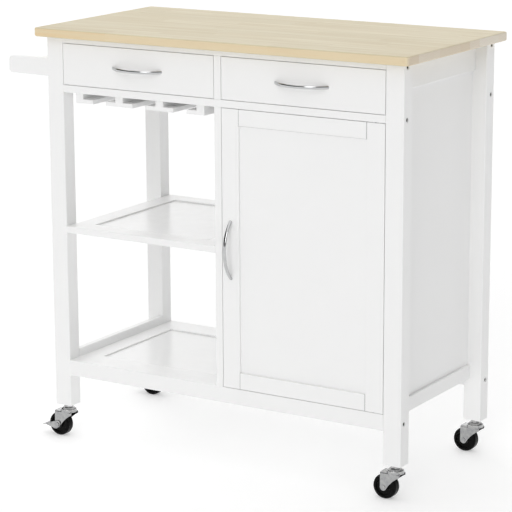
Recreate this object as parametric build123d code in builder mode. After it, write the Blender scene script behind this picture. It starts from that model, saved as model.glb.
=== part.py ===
from build123d import *

import math
import os

os.makedirs("parts", exist_ok=True)

# Driving dimensions, all in millimetres
# Worktop
table_height = 872
top_overhang_x = 18.5
top_overhang_y = 21
top_thickness = 18
top_corner_radius = 8
top_edge_radius = 3

# Legs and rails
frame_width = 825
frame_depth = 380
leg_width = 39
leg_depth = 34
leg_edge_radius = 1.5
rail_thickness = 20
eased_edge = 0.6
top_rail_height = 12
middle_rail_height = 15
bottom_rail_height = 33
bottom_rail_lift = 68
side_rail_thickness = 14
upper_side_rail_height = 56
lower_side_rail_height = 29
lower_side_rail_lift = 21

# Frame bolts
bolt_radius = 3
bolt_head_radius = 4.3
bolt_head_height = 4
bolt_sink = 2
bolt_bite = 15
bolt_inset = 13
bolt_slack = 0.3

# Panels, shelves and the grooves that hold thin panels
partition_thickness = 16
side_panel_thickness = 5
side_panel_wall = 3
back_panel_thickness = 5
back_panel_overlap = 20
groove_depth = 6
end_room = 1
groove_slack = 0.2
shelf_thickness = 14
shelf_border = 42
shelf_panel_thickness = 6
shelf_recess = 3
middle_shelf_rise = 288

# Drawers
drawer_opening_height = 86
front_gap = 1
front_thickness = 18
drawer_rear_gap = 30
drawer_box_headroom = 15
drawer_box_lift = 9
drawer_side_thickness = 12
drawer_side_clearance = 5
drawer_bottom_thickness = 4
drawer_bottom_lift = 7
runner_height = 12
runner_bite = 5
runner_lift = 4
runner_rear_gap = 12
runner_slack = 0.3

# Door
door_stile_width = 39
door_rail_height = 33
door_panel_thickness = 6
door_panel_recess = 5
pivot_radius = 3
pivot_inset = 20
pivot_setback = 5
pivot_bite = 9
pivot_slack = 0.06
pivot_play = 0.3
collar_radius = 4.6
catch_length = 34
catch_width = 14
catch_depth = 22
catch_drop = 46
catch_plate_width = 10
catch_plate_radius = 2
catch_plate_thickness = 1.2
catch_gap = 0.4

# Bow handles
handle_length = 120
handle_reach = 26
handle_width = 7
handle_thickness = 4

# Stemware rails
stem_side_margin = 26.75
slot_width = 32
stem_web_width = 18
stem_rail_drop = 21
stem_flange_thickness = 8.5
stem_rail_setback = 6

# Towel rail
towel_reach = 106
towel_arm_root = 37
towel_arm_tip = 35
towel_arm_thickness = 17
towel_arm_drop = 66
towel_tip_radius = 8
towel_dowel_inset = 34
towel_dowel_radius = 9
towel_dowel_bite = 9
towel_dowel_slack = 0.1

# Casters
wheel_diameter = 50
wheel_width = 21
wheel_shoulder = 5
wheel_hub_radius = 9
wheel_rim_depth = 7
wheel_dish = 3
wheel_side_gap = 1
caster_trail = 20
axle_radius = 3
axle_slack = 0.06
rivet_radius = 4.6
rivet_height = 1.3
fork_sheet = 1.9
fork_bend = 3.5
fork_end_radius = 7
fork_front = 15
fork_shoulder = 5
fork_hollow = 2.8
crown_clearance = 4.1
cup_radius = 17
cup_wall = 1.8
cup_height = 3.6
race_gap = 0.4
race_height = 8
race_bevel = 3
swivel_radius = 4
swivel_slack = 0.06
swivel_head_radius = 6.5
swivel_head_height = 2.5
swivel_play = 0.3
hex_flats = 17
hex_height = 8
stem_radius = 5
stem_length = 30
stem_slack = 0.1

# Brake lever
lever_sheet = 1.6
lever_gap = 0.3
lever_ear_radius = 7
lever_neck = 8
pedal_clearance = 3
pedal_length = 10
pedal_round = 3

# Places that follow from the sizes: the origin is on the floor, under the middle of the whole outline
top_length = frame_width + 2 * top_overhang_x
top_depth = frame_depth + 2 * top_overhang_y
front_reach = max(handle_reach, top_overhang_y)
frame_x = (towel_reach - top_overhang_x) / 2
frame_y = (front_reach - top_overhang_y) / 2
frame_left = frame_x - frame_width / 2
frame_right = frame_x + frame_width / 2
frame_front = frame_y - frame_depth / 2
frame_back = frame_y + frame_depth / 2
bay_left = frame_left + leg_width
bay_right = frame_right - leg_width
partition_left = frame_x - partition_thickness / 2
partition_right = frame_x + partition_thickness / 2
rail_inner_front = frame_front + rail_thickness
rail_inner_back = frame_back - rail_thickness
leg_inner_front = frame_front + leg_depth
leg_inner_back = frame_back - leg_depth
back_panel_front = rail_inner_back - back_panel_thickness
tongue_depth = groove_depth - end_room
drawer_opening_width = partition_left - bay_left
pivot_x = bay_right - front_gap - pivot_inset
pivot_y = frame_front + pivot_setback

# Heights above the floor
crown_under = wheel_diameter + crown_clearance
crown_top = crown_under + fork_sheet
leg_bottom = crown_top + race_height + hex_height
leg_top = table_height - top_thickness
bottom_rail_bottom = leg_bottom + bottom_rail_lift
bottom_rail_top = bottom_rail_bottom + bottom_rail_height
top_rail_bottom = leg_top - top_rail_height
drawer_opening_bottom = top_rail_bottom - drawer_opening_height
middle_rail_bottom = drawer_opening_bottom - middle_rail_height
middle_shelf_top = bottom_rail_top + middle_shelf_rise
lower_side_rail_bottom = bottom_rail_bottom + lower_side_rail_lift
lower_side_rail_top = lower_side_rail_bottom + lower_side_rail_height
upper_side_rail_bottom = leg_top - upper_side_rail_height
bolt_heights = [
    bottom_rail_bottom + bottom_rail_height / 2,
    middle_rail_bottom + middle_rail_height / 2,
    top_rail_bottom + top_rail_height / 2,
]


def save(piece, label):
    """Name a finished piece and write it to its own file."""
    piece.part.label = label
    export_step(piece.part, f"parts/{label}.step")


def make_board(label, x_span, y_span, z_span):
    """A plain board between three pairs of limits, with its edges eased."""
    with BuildPart() as board:
        with BuildSketch(Plane.XY.offset(z_span[0])):
            with Locations((sum(x_span) / 2, sum(y_span) / 2)):
                Rectangle(x_span[1] - x_span[0], y_span[1] - y_span[0])
        extrude(amount=z_span[1] - z_span[0])
        chamfer(board.edges(), eased_edge)
    save(board, label)


# Worktop: one slab of glued staves with rounded corners and edges
with BuildPart() as tabletop:
    with BuildSketch(Plane.XY.offset(leg_top)):
        with Locations((frame_x, frame_y)):
            RectangleRounded(top_length, top_depth, top_corner_radius)
    extrude(amount=top_thickness)
    fillet(tabletop.faces().filter_by(Axis.Z).edges(), top_edge_radius)
save(tabletop, "tabletop")


# Legs: counterbored for the frame bolts, bored from below for the caster stem
def make_leg(label, x_side, y_side):
    """The leg at one corner; the sides are -1 for left or front and 1 for right or back."""
    leg_x = frame_x + x_side * (frame_width - leg_width) / 2
    leg_y = frame_y + y_side * (frame_depth - leg_depth) / 2
    outer_x = frame_x + x_side * frame_width / 2
    bolt_y = frame_y + y_side * (frame_depth / 2 - bolt_inset)
    with BuildPart() as leg:
        with BuildSketch(Plane.XY.offset(leg_bottom)):
            with Locations((leg_x, leg_y)):
                Rectangle(leg_width, leg_depth)
        extrude(amount=leg_top - leg_bottom)
        fillet(leg.edges().filter_by(Axis.Z), leg_edge_radius)
        for bolt_z in bolt_heights:
            with Locations(Plane((outer_x, bolt_y, bolt_z), z_dir=(x_side, 0, 0))):
                CounterBoreHole(
                    bolt_radius + bolt_slack,
                    bolt_head_radius + bolt_slack,
                    bolt_sink + bolt_head_height,
                    leg_width,
                )
        with Locations(Plane((leg_x, leg_y, leg_bottom), z_dir=(0, 0, -1))):
            Hole(stem_radius + stem_slack, stem_length + end_room)
    save(leg, label)


make_leg("front_left_leg", -1, -1)
make_leg("front_right_leg", 1, -1)
make_leg("rear_left_leg", -1, 1)
make_leg("rear_right_leg", 1, 1)


# Rails from leg to leg along the width, bored at both ends for the frame bolts
def make_cross_rail(label, y_side, z_low, z_high, rail_bolts, pivot_z_dir=None):
    """A front or rear rail; pivot_z_dir is the way that a door pin leaves its hole, if it has one."""
    rail_y = frame_y + y_side * (frame_depth - rail_thickness) / 2
    bolt_y = frame_y + y_side * (frame_depth / 2 - bolt_inset)
    with BuildPart() as rail:
        with BuildSketch(Plane.YZ.offset(bay_left)):
            with Locations((rail_y, (z_low + z_high) / 2)):
                Rectangle(rail_thickness, z_high - z_low)
        extrude(amount=bay_right - bay_left)
        chamfer(rail.edges().filter_by(Axis.X), eased_edge)
        for x_side, end_x in ((-1, bay_left), (1, bay_right)):
            for bolt_z in rail_bolts:
                with Locations(Plane((end_x, bolt_y, bolt_z), z_dir=(x_side, 0, 0))):
                    Hole(bolt_radius + bolt_slack, bolt_bite + end_room)
        if pivot_z_dir:
            pivot_z = z_high if pivot_z_dir > 0 else z_low
            with Locations(Plane((pivot_x, pivot_y, pivot_z), z_dir=(0, 0, pivot_z_dir))):
                Hole(pivot_radius + pivot_slack, pivot_bite + end_room)
    save(rail, label)


make_cross_rail("front_top_rail", -1, top_rail_bottom, leg_top, bolt_heights[2:])
make_cross_rail("front_middle_rail", -1, middle_rail_bottom, drawer_opening_bottom, bolt_heights[1:2], -1)
make_cross_rail("front_bottom_rail", -1, bottom_rail_bottom, bottom_rail_top, bolt_heights[:1], 1)
make_cross_rail("rear_apron", 1, middle_rail_bottom, leg_top, bolt_heights[1:])
make_cross_rail("rear_bottom_rail", 1, bottom_rail_bottom, bottom_rail_top, bolt_heights[:1])


# Frame bolts: round heads sunk in the outer faces of the legs
with BuildPart() as frame_bolts:
    shank_length = leg_width - bolt_sink - bolt_head_height + bolt_bite
    for x_side in (-1, 1):
        for y_side in (-1, 1):
            for bolt_z in bolt_heights:
                head_x = frame_x + x_side * (frame_width / 2 - bolt_sink)
                bolt_y = frame_y + y_side * (frame_depth / 2 - bolt_inset)
                head_plane = Plane((head_x, bolt_y, bolt_z), z_dir=(x_side, 0, 0))
                with BuildSketch(head_plane):
                    Circle(bolt_head_radius)
                extrude(amount=-bolt_head_height)
                with BuildSketch(head_plane.offset(-bolt_head_height)):
                    Circle(bolt_radius)
                extrude(amount=-shank_length)
save(frame_bolts, "frame_bolts")


# Side rails from front leg to rear leg; the right pair is grooved for the thin side panel
side_panel_x = bay_right + side_panel_wall + side_panel_thickness / 2


def make_side_rail(label, x_side, z_low, z_high, groove_z=None):
    """A side rail flush with the inner faces of the legs, with an optional panel groove in one edge."""
    rail_x = frame_x + x_side * (frame_width / 2 - leg_width + side_rail_thickness / 2)
    with BuildPart() as rail:
        with BuildSketch(Plane.XZ.offset(-leg_inner_back)):
            with Locations((rail_x, (z_low + z_high) / 2)):
                Rectangle(side_rail_thickness, z_high - z_low)
            if groove_z:
                with Locations((side_panel_x, groove_z)):
                    Rectangle(side_panel_thickness + 2 * groove_slack, 2 * groove_depth, mode=Mode.SUBTRACT)
        extrude(amount=leg_inner_back - leg_inner_front)
        chamfer(rail.edges().filter_by(Axis.Y).group_by(Axis.X)[0], eased_edge)
        chamfer(rail.edges().filter_by(Axis.Y).group_by(Axis.X)[-1], eased_edge)
    save(rail, label)


make_side_rail("left_upper_side_rail", -1, upper_side_rail_bottom, leg_top)
make_side_rail("left_lower_side_rail", -1, lower_side_rail_bottom, lower_side_rail_top)
make_side_rail("right_upper_side_rail", 1, upper_side_rail_bottom, leg_top, upper_side_rail_bottom)
make_side_rail("right_lower_side_rail", 1, lower_side_rail_bottom, lower_side_rail_top, lower_side_rail_top)

with BuildPart() as right_side_panel:
    with BuildSketch(Plane.YZ.offset(side_panel_x - side_panel_thickness / 2)):
        with Locations((frame_y, (lower_side_rail_top + upper_side_rail_bottom) / 2)):
            Rectangle(
                leg_inner_back - leg_inner_front,
                upper_side_rail_bottom - lower_side_rail_top + 2 * tongue_depth,
            )
    extrude(amount=side_panel_thickness)
save(right_side_panel, "right_side_panel")


# Upright between the drawers, and the partition between the open bay and the cupboard
make_board(
    "drawer_divider",
    (partition_left, partition_right),
    (frame_front, rail_inner_front),
    (drawer_opening_bottom, top_rail_bottom),
)

shelf_bottom = bottom_rail_top - shelf_thickness
with BuildPart() as partition_panel:
    with BuildSketch(Plane.YZ.offset(partition_left)):
        with BuildLine():
            Polyline(
                (frame_front, bottom_rail_top),
                (frame_front, middle_rail_bottom),
                (rail_inner_front, middle_rail_bottom),
                (rail_inner_front, leg_top),
                (back_panel_front, leg_top),
                (back_panel_front, shelf_bottom),
                (rail_inner_front, shelf_bottom),
                (rail_inner_front, bottom_rail_top),
                close=True,
            )
        make_face()
    extrude(amount=partition_thickness)
    chamfer(partition_panel.edges().filter_by(Axis.Z).group_by(Axis.Y)[0], eased_edge)
save(partition_panel, "partition_panel")


# Open shelves: rails at front and back, stiles tongued between them, and a thin sunk panel in their grooves
def make_shelf(prefix, y_front, y_back, z_top):
    """One framed shelf between the left legs and the partition."""
    z_middle = z_top - shelf_thickness / 2
    panel_z = z_top - shelf_recess - shelf_panel_thickness / 2
    groove_height = shelf_panel_thickness + 2 * groove_slack
    inner_left = bay_left + shelf_border
    inner_right = partition_left - shelf_border
    inner_front = y_front + shelf_border
    inner_back = y_back - shelf_border
    tongue_width = shelf_border - groove_depth
    with BuildPart() as stiles:
        with BuildSketch(Plane.XZ.offset(-inner_back)):
            for outer_x, inner_x in ((bay_left, inner_left), (partition_left, inner_right)):
                with Locations(((outer_x + inner_x) / 2, z_middle)):
                    Rectangle(shelf_border, shelf_thickness)
                with Locations((inner_x, panel_z)):
                    Rectangle(2 * groove_depth, groove_height, mode=Mode.SUBTRACT)
        extrude(amount=inner_back - inner_front)
        with BuildSketch(Plane.XZ.offset(-inner_back - tongue_depth), Plane.XZ.offset(-inner_front)):
            with Locations((bay_left, panel_z)):
                Rectangle(tongue_width, shelf_panel_thickness, align=(Align.MIN, Align.CENTER))
            with Locations((partition_left, panel_z)):
                Rectangle(tongue_width, shelf_panel_thickness, align=(Align.MAX, Align.CENTER))
        extrude(amount=tongue_depth)
    save(stiles, f"{prefix}_shelf_stiles")
    with BuildPart() as rails:
        with BuildSketch(Plane.YZ.offset(bay_left)):
            for outer_y, inner_y in ((y_front, inner_front), (y_back, inner_back)):
                with Locations(((outer_y + inner_y) / 2, z_middle)):
                    Rectangle(shelf_border, shelf_thickness)
                with Locations((inner_y, panel_z)):
                    Rectangle(2 * groove_depth, groove_height, mode=Mode.SUBTRACT)
        extrude(amount=partition_left - bay_left)
        chamfer(rails.edges().filter_by(Axis.X).group_by(Axis.Y)[0], eased_edge)
    save(rails, f"{prefix}_shelf_rails")
    with BuildPart() as panel:
        with BuildSketch(Plane.XY.offset(panel_z - shelf_panel_thickness / 2)):
            with Locations(((inner_left + inner_right) / 2, (inner_front + inner_back) / 2)):
                Rectangle(
                    inner_right - inner_left + 2 * tongue_depth,
                    inner_back - inner_front + 2 * tongue_depth,
                )
        extrude(amount=shelf_panel_thickness)
    save(panel, f"{prefix}_shelf_panel")


make_shelf("middle", frame_front, frame_back, middle_shelf_top)
make_shelf("bottom", rail_inner_front, rail_inner_back, bottom_rail_top)


# Cupboard floor and back
make_board(
    "cupboard_floor",
    (partition_right, bay_right),
    (rail_inner_front, rail_inner_back),
    (shelf_bottom, bottom_rail_top),
)
make_board(
    "cupboard_back_panel",
    (partition_left, bay_right),
    (back_panel_front, rail_inner_back),
    (bottom_rail_top, middle_rail_bottom + back_panel_overlap),
)


# Drawers: a flush front, grooved sides that hang on wooden runners, a back, a thin bottom and a handle
box_front = frame_front + front_thickness
box_back = rail_inner_back - drawer_rear_gap
box_bottom = drawer_opening_bottom + drawer_box_lift
box_top = top_rail_bottom - drawer_box_headroom
runner_z = upper_side_rail_bottom + runner_lift + runner_height / 2
drawer_bottom_z = box_bottom + drawer_bottom_lift


def make_handle(label, center, length_dir):
    """A bow handle: its strip follows one arc from foot to foot and is cut flat on the face behind it."""
    outward = Vector(0, -1, 0)
    bow_plane = Plane(center, x_dir=length_dir, z_dir=Vector(*length_dir).cross(outward))
    rise = handle_reach - handle_thickness / 2
    half_chord = (handle_length - handle_thickness) / 2
    bow_radius = (half_chord**2 + rise**2) / (2 * rise)
    overrun = handle_thickness * half_chord / rise
    foot_angle = math.degrees(math.asin(half_chord / bow_radius) + overrun / bow_radius)
    with BuildPart() as handle:
        with BuildLine(bow_plane) as bow:
            CenterArc((0, rise - bow_radius), bow_radius, 90 - foot_angle, 2 * foot_angle)
        with BuildSketch(Plane(bow.line @ 0, x_dir=bow_plane.z_dir, z_dir=bow.line % 0)):
            SlotOverall(handle_width, handle_thickness)
        sweep(path=bow.line)
        split(bisect_by=Plane(center, z_dir=outward), keep=Keep.TOP)
    save(handle, label)


def make_drawer(prefix, opening_left):
    """One drawer in the opening that starts at opening_left."""
    center_x = opening_left + drawer_opening_width / 2
    center_z = drawer_opening_bottom + drawer_opening_height / 2
    side_left = opening_left + drawer_side_clearance
    inner_left = side_left + drawer_side_thickness
    inner_width = 2 * (center_x - inner_left)
    with BuildPart() as front:
        with BuildSketch(Plane.XZ.offset(-box_front)):
            with Locations((center_x, center_z)):
                Rectangle(drawer_opening_width - 2 * front_gap, drawer_opening_height - 2 * front_gap)
        extrude(amount=front_thickness)
        chamfer(front.faces().sort_by(Axis.Y)[0].edges(), eased_edge)
    save(front, f"{prefix}_drawer_front")
    with BuildPart() as sides:
        with BuildSketch(Plane.XZ.offset(-box_back)):
            with Locations((side_left, box_bottom)):
                Rectangle(drawer_side_thickness, box_top - box_bottom, align=Align.MIN)
            with Locations((side_left, runner_z)):
                Rectangle(2 * (runner_bite + end_room), runner_height + 2 * runner_slack, mode=Mode.SUBTRACT)
            with Locations((inner_left, drawer_bottom_z + drawer_bottom_thickness / 2)):
                Rectangle(2 * groove_depth, drawer_bottom_thickness + 2 * groove_slack, mode=Mode.SUBTRACT)
            mirror(about=Plane.YZ.offset(center_x))
        extrude(amount=box_back - box_front)
    save(sides, f"{prefix}_drawer_sides")
    with BuildPart() as back:
        with BuildSketch(Plane.XZ.offset(-box_back)):
            with Locations((center_x, drawer_bottom_z + drawer_bottom_thickness + groove_slack)):
                Rectangle(
                    inner_width,
                    box_top - drawer_bottom_z - drawer_bottom_thickness - groove_slack,
                    align=(Align.CENTER, Align.MIN),
                )
        extrude(amount=drawer_side_thickness)
    save(back, f"{prefix}_drawer_back")
    with BuildPart() as bottom:
        with BuildSketch(Plane.XY.offset(drawer_bottom_z)):
            with Locations((center_x, (box_front + box_back) / 2)):
                Rectangle(inner_width + 2 * tongue_depth, box_back - box_front)
        extrude(amount=drawer_bottom_thickness)
    save(bottom, f"{prefix}_drawer_bottom")
    make_handle(f"{prefix}_drawer_handle", (center_x, frame_front, center_z), (1, 0, 0))


make_drawer("left", bay_left)
make_drawer("right", partition_right)

with BuildPart() as drawer_runners:
    with BuildSketch(Plane.XZ.offset(runner_rear_gap - leg_inner_back)):
        runner_width = drawer_side_clearance + runner_bite
        for opening_left in (bay_left, partition_right):
            opening_right = opening_left + drawer_opening_width
            for runner_x in (opening_left + runner_width / 2, opening_right - runner_width / 2):
                with Locations((runner_x, runner_z)):
                    Rectangle(runner_width, runner_height)
    extrude(amount=leg_inner_back - runner_rear_gap - leg_inner_front)
save(drawer_runners, "drawer_runners")


# Door: stiles run full height, rails are tongued between them, and a thin panel is held in their grooves
door_left = partition_right + front_gap
door_right = bay_right - front_gap
door_bottom = bottom_rail_top + front_gap
door_top = middle_rail_bottom - front_gap
door_back = frame_front + front_thickness
door_panel_y = frame_front + door_panel_recess + door_panel_thickness / 2
door_inner_left = door_left + door_stile_width
door_inner_right = door_right - door_stile_width
door_inner_bottom = door_bottom + door_rail_height
door_inner_top = door_top - door_rail_height
door_groove = door_panel_thickness + 2 * groove_slack
door_tongue_height = door_rail_height - groove_depth

with BuildPart() as door_stiles:
    with BuildSketch(Plane.XY.offset(door_bottom)):
        for outer_x, inner_x in ((door_left, door_inner_left), (door_right, door_inner_right)):
            with Locations(((outer_x + inner_x) / 2, frame_front + front_thickness / 2)):
                Rectangle(door_stile_width, front_thickness)
            with Locations((inner_x, door_panel_y)):
                Rectangle(2 * groove_depth, door_groove, mode=Mode.SUBTRACT)
    extrude(amount=door_top - door_bottom)
    chamfer(door_stiles.edges().filter_by(Axis.Z).group_by(Axis.Y)[0], eased_edge)
    for pin_z, z_side in ((door_bottom, -1), (door_top, 1)):
        with Locations(Plane((pivot_x, pivot_y, pin_z), z_dir=(0, 0, z_side))):
            Hole(pivot_radius + pivot_slack, 2 * pivot_bite + end_room)
save(door_stiles, "door_stiles")

with BuildPart() as door_rails:
    with BuildSketch(Plane.YZ.offset(door_inner_left)):
        for outer_z, inner_z in ((door_bottom, door_inner_bottom), (door_top, door_inner_top)):
            with Locations((frame_front + front_thickness / 2, (outer_z + inner_z) / 2)):
                Rectangle(front_thickness, door_rail_height)
            with Locations((door_panel_y, inner_z)):
                Rectangle(door_groove, 2 * groove_depth, mode=Mode.SUBTRACT)
    extrude(amount=door_inner_right - door_inner_left)
    chamfer(door_rails.edges().filter_by(Axis.X).group_by(Axis.Y)[0], eased_edge)
    with BuildSketch(Plane.YZ.offset(door_inner_left - tongue_depth), Plane.YZ.offset(door_inner_right)):
        with Locations((door_panel_y, door_bottom)):
            Rectangle(door_panel_thickness, door_tongue_height, align=(Align.CENTER, Align.MIN))
        with Locations((door_panel_y, door_top)):
            Rectangle(door_panel_thickness, door_tongue_height, align=(Align.CENTER, Align.MAX))
    extrude(amount=tongue_depth)
save(door_rails, "door_rails")

with BuildPart() as door_panel:
    with BuildSketch(Plane.XZ.offset(-(door_panel_y + door_panel_thickness / 2))):
        with Locations(((door_left + door_right) / 2, (door_bottom + door_top) / 2)):
            Rectangle(
                door_inner_right - door_inner_left + 2 * tongue_depth,
                door_inner_top - door_inner_bottom + 2 * tongue_depth,
            )
    extrude(amount=door_panel_thickness)
save(door_panel, "door_panel")

make_handle(
    "door_handle",
    ((door_left + door_inner_left) / 2, frame_front, (door_bottom + door_top) / 2),
    (0, 0, 1),
)

# Door pivots: pins with a collar that fills the gap between the door and the rail
with BuildPart() as door_pivots:
    for pin_z, z_side in ((door_bottom, -1), (door_top, 1)):
        seat = Plane((pivot_x, pivot_y, pin_z), z_dir=(0, 0, z_side))
        with BuildSketch(seat.offset(-2 * pivot_bite)):
            Circle(pivot_radius)
        extrude(amount=3 * pivot_bite + front_gap)
        with BuildSketch(seat):
            Circle(collar_radius)
        extrude(amount=front_gap - pivot_play)
save(door_pivots, "door_pivots")

# Magnetic catch on the partition and its steel plate on the door
catch_z = door_top - catch_drop
catch_front = door_back + catch_plate_thickness + catch_gap
make_board(
    "door_catch",
    (partition_right, partition_right + catch_width),
    (catch_front, catch_front + catch_depth),
    (catch_z - catch_length / 2, catch_z + catch_length / 2),
)
with BuildPart() as door_catch_plate:
    with BuildSketch(Plane.XZ.offset(-(door_back + catch_plate_thickness))):
        with Locations((door_left + catch_width / 2, catch_z)):
            RectangleRounded(catch_plate_width, catch_length, catch_plate_radius)
    extrude(amount=catch_plate_thickness)
save(door_catch_plate, "door_catch_plate")


# Stemware rails: inverted T sections hung between the middle rail and the rear apron, half sections outside
bay_middle = (bay_left + partition_left) / 2
slot_pitch = (partition_left - bay_left - 2 * stem_side_margin - stem_web_width) / 3
stem_flange_width = slot_pitch - slot_width
stem_flange_top = middle_rail_bottom - stem_rail_drop + stem_flange_thickness
stem_front = frame_front + stem_rail_setback
stem_back = frame_back - stem_rail_setback

with BuildPart() as inner_stem_rails:
    with BuildSketch(Plane.XZ.offset(-stem_back)):
        with Locations((bay_middle - slot_pitch / 2, 0), (bay_middle + slot_pitch / 2, 0)):
            with Locations((0, middle_rail_bottom)):
                Rectangle(stem_web_width, stem_rail_drop, align=(Align.CENTER, Align.MAX))
            with Locations((0, stem_flange_top)):
                Rectangle(stem_flange_width, stem_flange_thickness, align=(Align.CENTER, Align.MAX))
    extrude(amount=stem_back - stem_front)
save(inner_stem_rails, "inner_stem_rails")

with BuildPart() as outer_stem_rails:
    web_outer = bay_middle - 1.5 * slot_pitch - stem_web_width / 2
    with BuildSketch(Plane.XZ.offset(-stem_back)):
        with Locations((web_outer, middle_rail_bottom)):
            Rectangle(stem_web_width, stem_rail_drop, align=(Align.MIN, Align.MAX))
        with Locations((web_outer, stem_flange_top)):
            Rectangle(
                (stem_flange_width + stem_web_width) / 2,
                stem_flange_thickness,
                align=(Align.MIN, Align.MAX),
            )
        mirror(about=Plane.YZ.offset(bay_middle))
    extrude(amount=stem_back - stem_front)
save(outer_stem_rails, "outer_stem_rails")


# Towel rail: two tapered arms on the left legs with a round dowel between them
towel_z = leg_top - towel_arm_drop
towel_dowel_x = frame_left - towel_reach + towel_dowel_inset
towel_arm_center = (frame_depth - leg_depth) / 2
towel_inner_half = towel_arm_center - towel_arm_thickness / 2

with BuildPart() as towel_arms:
    for y_side in (-1, 1):
        arm_y = frame_y + y_side * towel_arm_center
        with BuildSketch(Plane.XZ.offset(-(arm_y + towel_arm_thickness / 2))) as arm_outline:
            with BuildLine():
                Polyline(
                    (frame_left, towel_z - towel_arm_root / 2),
                    (frame_left - towel_reach, towel_z - towel_arm_tip / 2),
                    (frame_left - towel_reach, towel_z + towel_arm_tip / 2),
                    (frame_left, towel_z + towel_arm_root / 2),
                    close=True,
                )
            make_face()
            fillet(arm_outline.vertices().group_by(Axis.X)[0], towel_tip_radius)
        extrude(amount=towel_arm_thickness)
    chamfer(towel_arms.faces().filter_by(Axis.Y).edges(), eased_edge)
    for y_side in (-1, 1):
        socket_y = frame_y + y_side * towel_inner_half
        with Locations(Plane((towel_dowel_x, socket_y, towel_z), z_dir=(0, -y_side, 0))):
            Hole(towel_dowel_radius + towel_dowel_slack, towel_dowel_bite + end_room)
save(towel_arms, "towel_arms")

with BuildPart() as towel_dowel:
    with BuildSketch(Plane.XZ.offset(-(frame_y + towel_inner_half + towel_dowel_bite))):
        with Locations((towel_dowel_x, towel_z)):
            Circle(towel_dowel_radius)
    extrude(amount=2 * (towel_inner_half + towel_dowel_bite))
save(towel_dowel, "towel_dowel")


# Casters: a stem with its upper race is fixed in each leg, and the fork turns below it
axle_z = wheel_diameter / 2
fork_inner_half = wheel_width / 2 + wheel_side_gap
fork_outer_half = fork_inner_half + fork_sheet
plain_axle_half = fork_outer_half
braked_axle_half = fork_outer_half + lever_gap + lever_sheet + lever_gap


def swivel_place(x_side, y_side):
    """Where a caster's swivel axis stands: under the middle of its leg."""
    return (
        frame_x + x_side * (frame_width - leg_width) / 2,
        frame_y + y_side * (frame_depth - leg_depth) / 2,
    )


with BuildPart() as caster_stems:
    for x_side in (-1, 1):
        for y_side in (-1, 1):
            swivel_x, swivel_y = swivel_place(x_side, y_side)
            race_radius = cup_radius - cup_wall - race_gap
            race_bottom = crown_top + swivel_play
            race_top = crown_top + race_height
            head_top = crown_under - swivel_play
            with BuildSketch(Plane((swivel_x, swivel_y, 0), x_dir=(1, 0, 0), z_dir=(0, -1, 0))):
                with BuildLine():
                    Polyline(
                        (0, head_top - swivel_head_height),
                        (swivel_head_radius, head_top - swivel_head_height),
                        (swivel_head_radius, head_top),
                        (swivel_radius, head_top),
                        (swivel_radius, race_bottom),
                        (race_radius, race_bottom),
                        (race_radius, race_top - race_bevel),
                        (race_radius - race_bevel, race_top),
                        (stem_radius, race_top),
                        (stem_radius, leg_bottom + stem_length),
                        (0, leg_bottom + stem_length),
                        close=True,
                    )
                make_face()
            revolve(axis=Axis((swivel_x, swivel_y, 0), (0, 0, 1)))
            with BuildSketch(Plane.XY.offset(race_top)):
                with Locations((swivel_x, swivel_y)):
                    RegularPolygon(hex_flats / 2, 6, major_radius=False)
            extrude(amount=hex_height)
save(caster_stems, "caster_stems")


def make_fork(label, x_side, y_side, axle_half):
    """A fork bent from one sheet: a U section trimmed to its side view, a pressed cup and a riveted axle."""
    swivel_x, swivel_y = swivel_place(x_side, y_side)
    axle_x = swivel_x - caster_trail
    heel_x = axle_x - fork_end_radius
    toe_x = swivel_x + fork_front
    with BuildPart() as fork:
        with BuildSketch(Plane((heel_x, swivel_y, 0), x_dir=(0, 1, 0), z_dir=(1, 0, 0))) as channel:
            Rectangle(2 * fork_outer_half, crown_top, align=(Align.CENTER, Align.MIN))
            fillet(channel.vertices().group_by(Axis.Y)[-1], fork_bend)
            Rectangle(2 * fork_inner_half, crown_under, align=(Align.CENTER, Align.MIN), mode=Mode.SUBTRACT)
        extrude(amount=toe_x - heel_x)
        with BuildSketch(Plane.XZ.offset(-(swivel_y + fork_outer_half))):
            with BuildLine():
                arm_end = CenterArc((axle_x, axle_z), fork_end_radius, 180, 150)
                arm_front = SagittaArc(arm_end @ 1, (toe_x, crown_under - fork_shoulder), fork_hollow)
                Polyline(
                    arm_front @ 1,
                    (toe_x, crown_top),
                    (heel_x, crown_top),
                    arm_end @ 0,
                )
            make_face()
        extrude(amount=2 * fork_outer_half, mode=Mode.INTERSECT)
        with BuildSketch(Plane((swivel_x, swivel_y, 0), x_dir=(1, 0, 0), z_dir=(0, -1, 0))):
            with BuildLine():
                Polyline(
                    (0, crown_under),
                    (cup_radius, crown_under),
                    (cup_radius, crown_top + cup_height),
                    (cup_radius - cup_wall, crown_top + cup_height),
                    (cup_radius - cup_wall, crown_top),
                    (0, crown_top),
                    close=True,
                )
            make_face()
        revolve(axis=Axis((swivel_x, swivel_y, 0), (0, 0, 1)))
        with Locations((swivel_x, swivel_y, crown_top)):
            Hole(swivel_radius + swivel_slack, 2 * fork_sheet)
        axle_end = Plane.XZ.offset(-(swivel_y + axle_half))
        with BuildSketch(axle_end):
            with Locations((axle_x, axle_z)):
                Circle(axle_radius)
        extrude(amount=2 * axle_half)
        with BuildSketch(axle_end, axle_end.offset(2 * axle_half + rivet_height)):
            with Locations((axle_x, axle_z)):
                Circle(rivet_radius)
        extrude(amount=-rivet_height)
    save(fork, label)


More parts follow.
